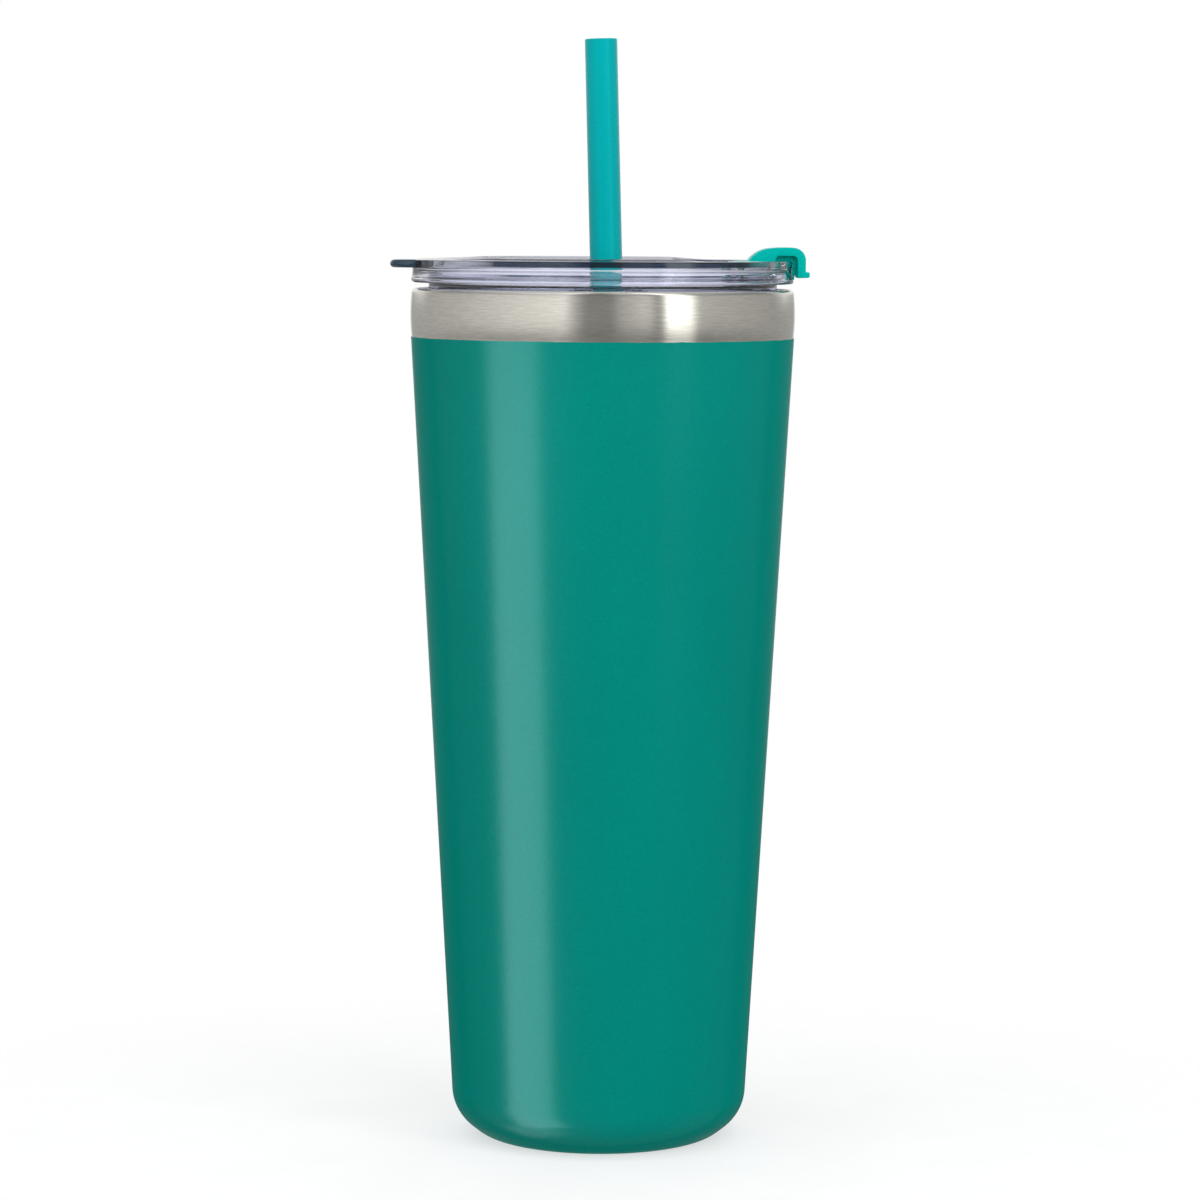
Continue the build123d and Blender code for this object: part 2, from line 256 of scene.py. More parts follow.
def spun(profile, angles=None):
    """Vertices and faces of a closed profile spun about Z; points on the axis are poles."""
    angles = angles or [math.tau * i / SEGMENTS for i in range(SEGMENTS)]
    count = len(angles)
    verts, rings, faces = [], [], []
    for r, z in profile:
        if abs(r) < 1e-6:
            rings.append([len(verts)])
            verts.append((0.0, 0.0, z))
        else:
            rings.append(list(range(len(verts), len(verts) + count)))
            verts += [(r * math.cos(t), r * math.sin(t), z) for t in angles]
    for a, b in zip(rings, rings[1:] + rings[:1]):
        if len(a) == 1 and len(b) == 1:
            continue
        for i in range(count):
            j = (i + 1) % count
            corners = (a[i % len(a)], a[j % len(a)], b[j % len(b)], b[i % len(b)])
            faces.append(tuple(dict.fromkeys(corners)))
    return verts, faces


def lathe(name, profile, material):
    return add_object(name, *spun(profile), material, smooth_angle=50)


def bar_faces(count):
    """Two end caps and the sides of a bar whose ends have this many points."""
    ends = [tuple(range(count)), tuple(range(2 * count - 1, count - 1, -1))]
    sides = [(i, (i + 1) % count, count + (i + 1) % count, count + i) for i in range(count)]
    return ends + sides


def prism(name, outline, half_width, material, bevel=0.0):
    """Side outline (x, z) given a width along Y, centred on y = 0, with rounded edges."""
    verts = [(x, y, z) for y in (-half_width, half_width) for x, z in outline]
    piece = add_object(name, verts, bar_faces(len(outline)), material)
    if bevel:
        rounding = piece.modifiers.new("rounding", "BEVEL")
        rounding.width = bevel * MM
        rounding.segments = 4
        rounding.limit_method = "ANGLE"
        rounding.angle_limit = math.radians(50)
        apply_modifiers(piece)
    return piece


def upright(name, outline, low_z, high_z, material):
    """Plan outline (x, y) between two heights."""
    verts = [(x, y, z) for z in (low_z, high_z) for x, y in outline]
    return add_object(name, verts, bar_faces(len(outline)), material)


def apply_modifiers(piece):
    """Replaces the piece's mesh by its evaluated one."""
    bpy.context.view_layer.update()
    graph = bpy.context.evaluated_depsgraph_get()
    mesh = bpy.data.meshes.new_from_object(piece.evaluated_get(graph))
    piece.modifiers.clear()
    piece.data = mesh


def combine(piece, other, operation):
    """Exact boolean of two closed meshes; the second one is used up."""
    cut = piece.modifiers.new("cut", "BOOLEAN")
    cut.operation = operation
    cut.solver = "EXACT"
    cut.object = other
    apply_modifiers(piece)
    bpy.data.objects.remove(other)


def rod(name, radius, start, end, material):
    """Plain round bar between two points, used as a cutter or as a core."""
    segments = 64
    start, end = Vector(start), Vector(end)
    turn = (end - start).to_track_quat("Z", "Y")
    length = (end - start).length
    verts = []
    for z in (0.0, length):
        for i in range(segments):
            t = math.tau * i / segments
            verts.append(start + turn @ Vector((radius * math.cos(t), radius * math.sin(t), z)))
    return add_object(name, verts, bar_faces(segments), material)


def finish_piece(piece, body, slot, *nodes, sharp=None):
    """Shades the piece, puts it on its CAD body and lets it stand for its CAD nodes."""
    if sharp:
        piece.data.shade_smooth()
        piece.data.set_sharp_from_angle(angle=math.radians(sharp))
    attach(piece, body)
    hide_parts(*nodes)
    return piece


# ---------------------------------------------------------------- materials


class Tree:
    """Short way to build a node tree."""

    def __init__(self, tree):
        self.tree = tree

    def node(self, kind, **values):
        """New node. Each value is one of its settings or the fixed value of one of its inputs."""
        made = self.tree.nodes.new("ShaderNode" + kind)
        for key, value in values.items():
            if hasattr(made, key):
                setattr(made, key, value)
            else:
                made.inputs[key.replace("_", " ")].default_value = value
        return made

    def link(self, source, target):
        self.tree.links.new(source, target)

    def ramp(self, value, low, high, from_low=0.3, from_high=0.7):
        """The value spread over low to high, and held at both ends."""
        made = self.node("MapRange")
        made.inputs["From Min"].default_value = from_low
        made.inputs["From Max"].default_value = from_high
        made.inputs["To Min"].default_value = low
        made.inputs["To Max"].default_value = high
        self.link(value, made.inputs["Value"])
        return made.outputs["Result"]

    def feed(self, socket, value):
        """Puts an output, a colour or a number on an input."""
        if isinstance(value, bpy.types.NodeSocket):
            self.link(value, socket)
        elif isinstance(value, tuple):
            socket.default_value = (*value, 1)
        else:
            socket.default_value = value

    def mix(self, factor, first, second, blend="MIX"):
        """The second colour laid over the first by the factor."""
        made = self.node("Mix", data_type="RGBA", blend_type=blend)
        for name, value in (("Factor", factor), ("A", first), ("B", second)):
            self.feed(made.inputs[name], value)
        return made.outputs["Result"]

    def math(self, operation, *values):
        made = self.node("Math", operation=operation)
        for value, socket in zip(values, made.inputs):
            self.feed(socket, value)
        return made.outputs["Value"]

    def split(self, vector):
        """The vector's X, Y and Z."""
        made = self.node("SeparateXYZ")
        self.link(vector, made.inputs["Vector"])
        return [made.outputs[axis] for axis in "XYZ"]


class Nodes(Tree):
    """Node tree of one Principled material."""

    def __init__(self, name):
        self.material = bpy.data.materials.new(name)
        self.material.use_nodes = True
        super().__init__(self.material.node_tree)
        self.shader = self.tree.nodes["Principled BSDF"]
        self.place = self.node("TexCoord").outputs["Object"]

    def set(self, **values):
        for key, value in values.items():
            self.shader.inputs[key.replace("_", " ")].default_value = value

    def stretched(self, x, y, z):
        """Object position in metres, scaled along each axis."""
        scale = self.node("Mapping")
        scale.inputs["Scale"].default_value = (x, y, z)
        self.link(self.place, scale.inputs["Vector"])
        return scale.outputs["Vector"]

    def noise(self, vector, scale, detail=3.0, roughness=0.5):
        made = self.node("TexNoise", Scale=scale, Detail=detail, Roughness=roughness)
        self.link(vector, made.inputs["Vector"])
        return made.outputs["Fac"]

    def from_axis(self):
        """Distance from the Z axis, in metres."""
        made = self.node("VectorMath", operation="LENGTH")
        self.link(self.stretched(1, 1, 0), made.inputs[0])
        return made.outputs["Value"]

    def bump(self, height, strength, distance_mm, under=None):
        made = self.node("Bump", Strength=strength, Distance=distance_mm * MM)
        self.link(height, made.inputs["Height"])
        if under:
            self.link(under, made.inputs["Normal"])
        return made.outputs["Normal"]

    def into(self, source, socket):
        self.link(source, self.shader.inputs[socket])


def powder_coat_material():
    """Satin coat with a fine peel. Its gloss is weaker at glancing angles."""
    m = Nodes("teal_powder_coat")
    m.set(IOR=1.22, Specular_Tint=(0.5, 0.9, 1, 1))
    grain = m.noise(m.place, 2600, detail=2)
    peel = m.noise(m.place, 900, detail=2)
    patches = m.noise(m.stretched(1, 1, 0.4), 30, detail=3)
    base = m.mix(m.ramp(patches, 0, 1), (0.0, 0.222, 0.179), (0.0, 0.24, 0.194))
    specks = m.mix(m.ramp(grain, 0, 1, 0.25, 0.75), (0.88, 0.88, 0.88), (1.1, 1.1, 1.1))
    m.into(m.mix(1.0, base, specks, "MULTIPLY"), "Base Color")
    m.into(m.ramp(peel, 0.2, 0.26), "Roughness")
    facing = m.node("LayerWeight", Blend=0.5).outputs["Facing"]
    m.into(m.ramp(facing, 0.5, 0.02, 0.2, 0.55), "Specular IOR Level")
    fine = m.bump(grain, 0.25, 0.02)
    m.into(m.bump(peel, 0.3, 0.05, fine), "Normal")
    return m.material


def brushed_steel_material():
    """Fine lines brushed round the band."""
    m = Nodes("brushed_steel")
    m.set(Metallic=1.0, Anisotropic=0.8, Anisotropic_Rotation=0.25)
    lines = m.noise(m.stretched(300, 300, 4600), 1.0, detail=3, roughness=0.6)
    long_lines = m.noise(m.stretched(50, 50, 900), 1.0, detail=2)
    cloud = m.noise(m.place, 90, detail=3)
    m.into(m.mix(m.ramp(lines, 0, 1), (0.545, 0.53, 0.472), (0.665, 0.645, 0.58)), "Base Color")
    m.into(m.ramp(cloud, 0.15, 0.21), "Roughness")
    tangent = m.node("Tangent", direction_type="RADIAL", axis="Z")
    m.link(tangent.outputs["Tangent"], m.shader.inputs["Tangent"])
    m.into(m.bump(lines, 0.2, 0.01, m.bump(long_lines, 0.05, 0.02)), "Normal")
    return m.material


def turned_steel_material():
    """Drawn and polished sheet: faint rings about the cup's axis."""
    m = Nodes("turned_steel")
    m.set(Metallic=1.0, Anisotropic=0.3)
    rings = m.noise(m.stretched(30, 30, 1500), 1.0, detail=3)
    m.into(m.mix(m.ramp(rings, 0, 1), (0.52, 0.52, 0.51), (0.63, 0.63, 0.62)), "Base Color")
    m.into(m.ramp(m.noise(m.place, 120), 0.2, 0.3), "Roughness")
    m.into(m.bump(rings, 0.15, 0.02), "Normal")
    return m.material


def spun_disc_material():
    """Base cover: concentric spin marks."""
    m = Nodes("spun_steel")
    m.set(Metallic=1.0)
    line = m.node("CombineXYZ")
    m.link(m.from_axis(), line.inputs["X"])
    rings = m.noise(line.outputs["Vector"], 3500, detail=3)
    m.into(m.mix(m.ramp(rings, 0, 1), (0.5, 0.49, 0.47), (0.62, 0.61, 0.59)), "Base Color")
    m.into(m.ramp(m.noise(m.place, 150), 0.25, 0.36), "Roughness")
    m.into(m.bump(rings, 0.3, 0.02), "Normal")
    return m.material


def painted_shade_band(m):
    """1 on the lid's outer edge band, front and back, where dark shade is painted into the clear
    plastic's colour: there the light stays caught inside.
    """
    x, _, z = m.split(m.place)
    limits = (
        m.ramp(m.from_axis(), 0, 1, (LID_EDGE_R - 0.25) * MM, (LID_EDGE_R - 0.12) * MM),
        m.ramp(z, 0, 1, (TAB_Z[0] + 0.45) * MM, (TAB_Z[0] + 0.6) * MM),
        m.ramp(z, 1, 0, TAB_Z[1] * MM, (TAB_Z[1] + 0.1) * MM),
        m.ramp(x, 0, 1, -35.5 * MM, -24 * MM),
        m.ramp(x, 1, 0, 32 * MM, 43 * MM),
    )
    mask = limits[0]
    for limit in limits[1:]:
        mask = m.math("MULTIPLY", mask, limit)
    return mask


def clear_plastic_material():
    """Clear moulded plastic, faintly violet, with painted shade: a near-black stripe along the
    lid's edge.
    """
    m = Nodes("clear_lid_plastic")
    m.set(IOR=1.49, Transmission_Weight=1.0)
    haze = m.noise(m.place, 220, detail=4)
    body = m.mix(m.ramp(haze, 0, 1), (0.8, 0.81, 0.89), (0.84, 0.85, 0.93))
    # Painted shade: the edge band's colour is near black, standing in for the light caught inside
    # the clear plastic.
    m.into(m.mix(painted_shade_band(m), body, (0.0006, 0.003, 0.009)), "Base Color")
    m.into(m.ramp(haze, 0.004, 0.02), "Roughness")
    flow = m.noise(m.stretched(1, 1, 3), 140, detail=2)
    m.into(m.bump(flow, 0.03, 0.05), "Normal")
    tint = m.node("VolumeAbsorption", Color=(0.35, 0.45, 0.65, 1), Density=8)
    m.link(tint.outputs["Volume"], m.tree.nodes["Material Output"].inputs["Volume"])
    return m.material


def painted_shade_tab_material():
    """The clear lift tab, painted dark navy as shade, where the light stays caught between its
    faces.
    """
    m = Nodes("clear_tab_painted_shade")
    m.set(IOR=1.49, Transmission_Weight=0.25)
    haze = m.noise(m.place, 220, detail=4)
    # Painted shade: the tab is clear plastic, and this dark navy stands in for the light caught
    # inside it.
    skin = m.mix(m.ramp(haze, 0, 1), (0.015, 0.05, 0.085), (0.022, 0.064, 0.105))
    m.into(skin, "Base Color")
    m.into(m.ramp(haze, 0.06, 0.14), "Roughness")
    m.into(m.bump(m.noise(m.stretched(1, 1, 3), 140, detail=2), 0.05, 0.05), "Normal")
    return m.material


def silicone_material():
    m = Nodes("clear_silicone")
    m.set(IOR=1.41, Transmission_Weight=0.95)
    cloud = m.noise(m.place, 400, detail=3)
    m.into(m.mix(m.ramp(cloud, 0, 1), (0.90, 0.91, 0.97), (0.95, 0.96, 1.0)), "Base Color")
    m.into(m.ramp(cloud, 0.12, 0.2), "Roughness")
    m.into(m.bump(cloud, 0.1, 0.02), "Normal")
    return m.material


def teal_plastic_material(name, dark, light, roughness):
    """Moulded plastic with faint flow marks and a fine gloss variation."""
    m = Nodes(name)
    m.set(IOR=1.38, Specular_Tint=(0.1, 1, 1, 1))
    flow = m.noise(m.stretched(1, 1, 0.3), 160, detail=3)
    skin = m.noise(m.place, 1800, detail=2)
    m.into(m.mix(m.ramp(flow, 0, 1), dark, light), "Base Color")
    m.into(m.ramp(skin, roughness, roughness + 0.1), "Roughness")
    m.into(m.bump(skin, 0.05, 0.01, m.bump(flow, 0.05, 0.03)), "Normal")
    return m.material


def copper_foil_material():
    m = Nodes("copper_foil")
    m.set(Metallic=1.0)
    creases = m.noise(m.stretched(1, 1, 0.5), 90, detail=5, roughness=0.6)
    m.into(m.mix(m.ramp(creases, 0, 1), (0.75, 0.36, 0.22), (0.90, 0.52, 0.36)), "Base Color")
    m.into(m.ramp(creases, 0.18, 0.34), "Roughness")
    m.into(m.bump(creases, 0.5, 0.3), "Normal")
    return m.material


def grainy_material(name, dark, light, scale, rough_low, rough_high, metallic=0.0):
    """Cast, sintered or fired stuff with visible grain."""
    m = Nodes(name)
    m.set(Metallic=metallic)
    grain = m.noise(m.place, scale, detail=4)
    m.into(m.mix(m.ramp(grain, 0, 1), dark, light), "Base Color")
    m.into(m.ramp(grain, rough_low, rough_high), "Roughness")
    m.into(m.bump(grain, 0.4, 0.05), "Normal")
    return m.material


COAT_LOOK = powder_coat_material()
STEEL_LOOK = brushed_steel_material()
TURNED_LOOK = turned_steel_material()
DISC_LOOK = spun_disc_material()
CLEAR_LOOK = clear_plastic_material()
TAB_SHADE_LOOK = painted_shade_tab_material()
SILICONE_LOOK = silicone_material()
CAP_LOOK = teal_plastic_material("teal_cap_plastic", (0.0, 0.48, 0.41), (0.0, 0.52, 0.45), 0.3)
STRAW_LOOK = teal_plastic_material("teal_straw_plastic", (0.0, 0.42, 0.43), (0.0, 0.44, 0.46), 0.2)


# ---------------------------------------------------------------- cup


def heel():
    """Outer face of the steel from the foot ring's inner lip, round the heel."""
    lip_z = high("base_cover").z
    return rounded(
        [
            (FOOT_R, lip_z, 0),
            (FOOT_R, 0.0, 0.6),
            (HEEL_LOW_R, 0.0, HEEL_LOW_ROUND),
            (wall_r(HEEL_HIGH_Z), HEEL_HIGH_Z, HEEL_HIGH_ROUND),
            (wall_r(HEEL_TOP_Z), HEEL_TOP_Z, 0),
        ],
        steps=14,
    )


def make_outer_shell():
    band_end = (BORDER_R, RIM_Z - RIM_ROUND)
    band = arc((BORDER_R, BORDER_Z), (BAND_R, BAND_Z), band_end, 16)
    bulge = 0.3 * RIM_ROUND
    lip = arc(band_end, (BORDER_R - bulge, RIM_Z - bulge), (BORDER_R - RIM_ROUND, RIM_Z), 6)
    wall = [(wall_r(HEEL_TOP_Z), HEEL_TOP_Z), (BORDER_R, BORDER_Z)]
    path = dense(heel(), 4) + dense(wall, 8)[1:]
    path += band[1:] + lip[1:] + [(SEAM_R, RIM_Z)]
    piece = lathe("outer_shell_steel", thickened(path, STEEL), STEEL_LOOK)
    return finish_piece(piece, "cup", "brushed_steel", "outer_shell")


def make_powder_coat():
    """Skin on the outer shell from just above the foot, with a slightly uneven upper edge."""
    heights = (60.0, BORDER_Z - 0.6)
    path = dense(heel() + [(wall_r(z), z) for z in heights], 6)
    foot_end = 23.0
    path = [(r, z) for r, z in path if r > foot_end and z > 0.05]
    path += [(wall_r(BORDER_Z - 0.3), BORDER_Z - 0.3), (BORDER_R, BORDER_Z)]
    shape = thickened(path, -COAT)
    verts, faces = spun(shape)
    wavy = []
    for x, y, z in verts:
        if z > BORDER_Z - 0.5:
            angle = math.atan2(y, x)
            spot = Vector((math.cos(angle), math.sin(angle), 0))
            z += 0.07 * noise.noise(spot * 9) + 0.05 * noise.noise(spot * 40 + Vector((3, 1, 2)))
        wavy.append((x, y, z))
    piece = add_object("powder_coat_skin", wavy, faces, COAT_LOOK, smooth_angle=50)
    return finish_piece(piece, "cup", "teal_coat", "powder_coat")


def make_inner_vessel():
    floor_z = low("inner_vessel").z + STEEL
    path = rounded(
        [
            (0.0, floor_z, 0),
            (FLOOR_R, floor_z, 6.0),
            (STEP_R, STEP_Z - 0.55, 0.8),
            (MOUTH_R, STEP_Z, 0.4),
            (MOUTH_R, RIM_Z, 0.9),
            (SEAM_R, RIM_Z, 0),
        ],
        steps=8,
    )
    piece = lathe("inner_vessel_steel", closed_on_axis(thickened(path, -STEEL)), TURNED_LOOK)
    return finish_piece(piece, "cup", "plain_steel", "inner_vessel")


def make_base_cover():
    """Pressed disc with a shallow raised ring, set in the foot."""
    lip_z = high("base_cover").z
    path = rounded(
        [
            (0.0, COVER_Z + 0.5, 0),
            (13.2, COVER_Z + 0.5, 0.8),
            (14.0, COVER_Z, 0.8),
            (FOOT_R - 0.02, COVER_Z, 0.9),
            (FOOT_R - 0.02, lip_z, 0),
        ],
        steps=6,
    )
    piece = lathe("base_cover_disc", closed_on_axis(thickened(path, STEEL)), DISC_LOOK)
    return finish_piece(piece, "cup", "brushed_steel", "base_cover")


# ---------------------------------------------------------------- lid

EDGE_STEPS = 28  # steps of the profile along the edge that becomes the tab
FLOOR_RINGS = (0.0, 12.0, 24.0, 34.0)
COLUMN_R = 41.0  # a column that runs along X has the y that its angle gives at this radius
TAB_EDGE_SHARE = 0.35  # part of the edge that becomes each flat face of the tab


def lid_profile():
    """Closed section of the lid. Also returns where the edge that becomes the tab starts."""
    crown_in = (DISH_R, CROWN_Z - 0.7)
    edge_top = (LID_EDGE_R - 0.2, TAB_Z[1] + 0.02)
    waist_top = (LID_EDGE_R - 0.1, TAB_Z[0] + 0.5)
    bead_top = (BEAD_R - 0.2, SKIRT_Z + 1.3)
    floor = [(r, DISH_Z) for r in FLOOR_RINGS]
    corner = rounded([(36.0, DISH_Z, 0), (DISH_R, DISH_Z, 0.8), (*crown_in, 0)], steps=6)
    crown = arc(crown_in, (DISH_R + 2.1, CROWN_Z), (LID_EDGE_R - 0.6, CROWN_Z - 0.47), 14)
    crown.append(edge_top)
    sill = rounded(
        [
            (*edge_top, 0),
            (LID_EDGE_R, TAB_Z[1] - 0.02, 0.16),
            (LID_EDGE_R, TAB_Z[0] + 0.55, 0.16),
            (*waist_top, 0),
        ],
        steps=4,
    )
    edge = resampled(sill, EDGE_STEPS)
    bead = arc(bead_top, (BEAD_R, SKIRT_Z + 0.65), (BEAD_R - 0.5, SKIRT_Z), 10)
    waist = dense([waist_top, (LID_EDGE_R - 0.12, SKIRT_Z + 2.4), bead_top], 0.4)
    inside = rounded(
        [
            (BEAD_R - 0.5, SKIRT_Z, 0),
            (SKIRT_INNER_R + 0.2, SKIRT_Z, 0.25),
            (SKIRT_INNER_R, CHANNEL_Z, 0.9),
            (NECK_R, CHANNEL_Z, 0.9),
            (NECK_R, GROOVE_Z[1], 0.12),
            (GROOVE_R, GROOVE_Z[1], 0.12),
            (GROOVE_R, GROOVE_Z[0], 0.12),
            (NECK_R, GROOVE_Z[0], 0.12),
            (NECK_R, PLUG_Z + 0.6, 0.3),
            (NECK_R - 0.6, PLUG_Z, 0.3),
            (PLUG_INNER_R, PLUG_Z, 0.5),
            (PLUG_INNER_R, DISH_Z - DISH_FLOOR, 0.5),
            (FLOOR_RINGS[-1], DISH_Z - DISH_FLOOR, 0),
        ],
        steps=5,
    )
    under = [(r, DISH_Z - DISH_FLOOR) for r in reversed(FLOOR_RINGS[:-1])]
    before_edge = floor + corner + crown[1:]
    profile = before_edge + edge[1:] + waist[1:] + bead[1:] + inside[1:] + under
    return profile, len(before_edge) - 1


def column_angles():
    """Columns round the lid: even ones, with extra ones at the notch's and the tab's sides."""
    even = [math.tau * i / 240 for i in range(240)]
    notch_ys = [0.5 * i for i in range(14)] + [6.8 + 0.08 * i for i in range(24)]
    near = [math.asin(y / COLUMN_R) for y in notch_ys]
    tab_ys = [0.6 * i for i in range(9)] + [5.2 + 0.2 * i for i in range(30)]
    far = [math.asin(y / COLUMN_R) for y in tab_ys]
    angles = [t for t in even if abs(math.sin(t)) * COLUMN_R > 11.2]
    angles += near + [-t for t in near if t > 0]
    angles += [math.pi - t for t in far] + [t - math.pi for t in far if t > 0]
    return sorted({round(t % math.tau, 6) for t in angles})


def smooth_step(value, start, end):
    """0 before the start, 1 past the end and an S curve between them."""
    t = min(max((value - start) / (end - start), 0.0), 1.0)
    return t * t * (3 - 2 * t)


def tab_reach(y):
    """How far the tab's outline stands out from the rim at this distance from its middle."""
    y = abs(y)
    outline = TAB_X
    if y > TAB_HALF - TAB_ROUND:
        inside = max(TAB_ROUND**2 - (y - TAB_HALF + TAB_ROUND) ** 2, 0.0)
        outline = TAB_X - TAB_ROUND + math.sqrt(inside)
    rim = math.sqrt(LID_EDGE_R**2 - y * y)
    return (outline - rim) * (1 - smooth_step(y, TAB_HALF - 0.35, TAB_HALF + 0.5))


def shaped_lid():
    """Lid ring whose section changes near the spout, where it is notched, and at the tab."""
    profile, edge_start = lid_profile()
    angles = column_angles()
    _, faces = spun(profile, angles)
    verts = []
    for step, (r, z) in enumerate(profile):
        if abs(r) < 1e-6:
            verts.append((0.0, 0.0, z))
            continue
        for angle in angles:
            theta = column_angle(angle, r)
            x, y = r * math.cos(theta), r * math.sin(theta)
            verts.append(spout_and_tab(x, y, z - crown_drop(z, angle), step - edge_start, r))
    return verts, faces


def column_angle(angle, r):
    """Where a column stands at a radius: beside the spout and the tab it runs along X."""
    y = COLUMN_R * math.sin(angle)
    hold = smooth_step(r, 33.0, 36.5) * (1 - smooth_step(abs(y), 11.0, 20.0))
    straight = math.asin(y / max(r, abs(y) + 1e-6))
    if math.cos(angle) < 0:
        straight = math.pi - straight
    turn = (straight - angle + math.pi) % math.tau - math.pi
    return angle + hold * turn


def crown_drop(z, angle):
    """The rim's crown sinks towards the spout, and a little towards the tab."""
    away = math.degrees(math.acos(math.cos(angle)))
    drop = 0.5 * (1 - smooth_step(away, 54, 70)) + 0.28 * smooth_step(away, 125, 150)
    return drop * smooth_step(z, TAB_Z[1], CROWN_Z - 0.1)


def spout_and_tab(x, y, z, edge_step, r):
    """Moves one point of the lid ring into the notch or the tab."""
    if x > 0:
        cut = 1 - smooth_step(abs(y), NOTCH_HALF - 0.02, NOTCH_HALF + 0.42)
        in_channel = NECK_R - 0.1 < r < SKIRT_INNER_R + 0.25 and SKIRT_Z < z < CHANNEL_Z + 0.15
        if in_channel:
            fill = 1 - smooth_step(abs(y), NOTCH_HALF + 1.0, NOTCH_HALF + 1.6)
            return x, y, z + (SKIRT_Z - z) * fill
        if r > DISH_R - 0.9 and z > LEDGE_Z:
            low_z = min(z, SPOUT_Z)
            low_x = min(x, NOTCH_X)
            return x + (low_x - x) * cut, y, z + (low_z - z) * cut
        return x, y, z
    reach = tab_reach(y) if abs(y) < TAB_HALF + 0.6 else 0.0
    if reach > 0 and 0 <= edge_step <= EDGE_STEPS:
        tab_x, tab_z = tab_section(edge_step / EDGE_STEPS, math.sqrt(LID_EDGE_R**2 - y * y), reach)
        blend = min(1.0, reach / 1.2)
        return x + (-tab_x - x) * blend, y, z + (tab_z - z) * blend
    return x, y, z


def tab_section(share, rim_x, reach):
    """Point of the tab's side view: along its top, round its rounded tip and back below."""
    half = (TAB_Z[1] - TAB_Z[0]) / 2
    root = rim_x - 0.5
    tip = rim_x + reach - half
    if share < TAB_EDGE_SHARE:
        return root + (tip - root) * share / TAB_EDGE_SHARE, TAB_Z[1]
    if share > 1 - TAB_EDGE_SHARE:
        return root + (tip - root) * (1 - share) / TAB_EDGE_SHARE, TAB_Z[0]
    turn = math.pi * (0.5 - (share - TAB_EDGE_SHARE) / (1 - 2 * TAB_EDGE_SHARE))
    return tip + half * math.cos(turn), sum(TAB_Z) / 2 + half * math.sin(turn)


def rounded_rect(x0, x1, half_y, radius):
    corners = [(x0, -half_y), (x1, -half_y), (x1, half_y), (x0, half_y)]
    return rounded([(x, y, radius) for x, y in corners], closed=True, steps=8)


def hinge_lug(side):
    """One of the two ears on the dish floor that hold the hinge pin."""
    foot_z = DISH_Z - 0.3
    top_z = HINGE.z + BARREL_R
    round_top = BARREL_R * 0.98
    ear = rounded(
        [
            (HINGE.x - BARREL_R, foot_z, 0),
            (HINGE.x - BARREL_R, top_z, round_top),
            (HINGE.x + BARREL_R, top_z, round_top),
            (HINGE.x + BARREL_R, foot_z, 0),
        ],
        closed=True,
        steps=10,
    )
    lug = prism("lug", ear, LUG_T / 2, CLEAR_LOOK)
    y = side * (CAP_HALF + LUG_GAP + LUG_T / 2)
    lug.data.transform(Matrix.Translation((0, y * MM, 0)))
    return lug


def add_spout_and_lugs(lid):
    wall = rounded_rect(
        HOLE_X[0] - SPOUT_WALL,
        DISH_R + 0.7,
        HOLE_HALF + SPOUT_WALL,
        HOLE_ROUND + SPOUT_WALL,
    )
    combine(lid, upright("spout_wall", wall, DISH_Z - 0.3, SPOUT_Z, CLEAR_LOOK), "UNION")
    for side in (-1, 1):
        combine(lid, hinge_lug(side), "UNION")


def cut_lid_holes(lid):
    """Sip hole, straw hole, vent and the pin's bore."""
    hole = rounded_rect(*HOLE_X, HOLE_HALF, HOLE_ROUND)
    combine(lid, upright("sip_hole", hole, DISH_Z - 3.0, SPOUT_Z + 1, CLEAR_LOOK), "DIFFERENCE")
    straw_x = (low("straw_seal").x + high("straw_seal").x) / 2
    for x, radius in ((straw_x, GROMMET_R), (VENT_X, VENT_R)):
        cutter = rod("hole", radius, (x, 0, DISH_Z - 4), (x, 0, DISH_Z + 2), CLEAR_LOOK)
        combine(lid, cutter, "DIFFERENCE")
    reach = CAP_HALF + LUG_GAP + LUG_T + 1
    ends = ((HINGE.x, -reach, HINGE.z), (HINGE.x, reach, HINGE.z))
    combine(lid, rod("pin_hole", PIN_R, *ends, CLEAR_LOOK), "DIFFERENCE")


def make_lid():
    verts, faces = shaped_lid()
    lid = add_object("lid_body_clear", verts, faces, CLEAR_LOOK)
    add_spout_and_lugs(lid)
    cut_lid_holes(lid)
    # The tab's faces get the tab material, whose dark navy is painted shade.
    lid.data.materials.append(TAB_SHADE_LOOK)
    tab_root = 1.2 - LID_EDGE_R
    for face in lid.data.polygons:
        x, y, z = face.center / MM
        if x < tab_root and TAB_Z[0] - 0.05 < z < TAB_Z[1] + 0.05:
            face.material_index = 1
    return finish_piece(lid, "lid", "clear_plastic", "lid_body", sharp=40)


def make_gasket():
    low_z, high_z = GROOVE_Z
    span = high_z - low_z
    lip = high("lid_gasket").x
    root = NECK_R + 0.05
    outline = [
        (GROOVE_R, low_z, 0.1),
        (root, low_z, 0.1),
        (lip, low_z + 0.25 * span, 0.15),
        (root, low_z + 0.5 * span, 0.15),
        (lip, low_z + 0.75 * span, 0.15),
        (root, high_z, 0.1),
        (GROOVE_R, high_z, 0.1),
    ]
    piece = lathe("lid_gasket_ring", rounded(outline, closed=True, steps=4), SILICONE_LOOK)
    return finish_piece(piece, "gasket", "clear_silicone", "lid_gasket")


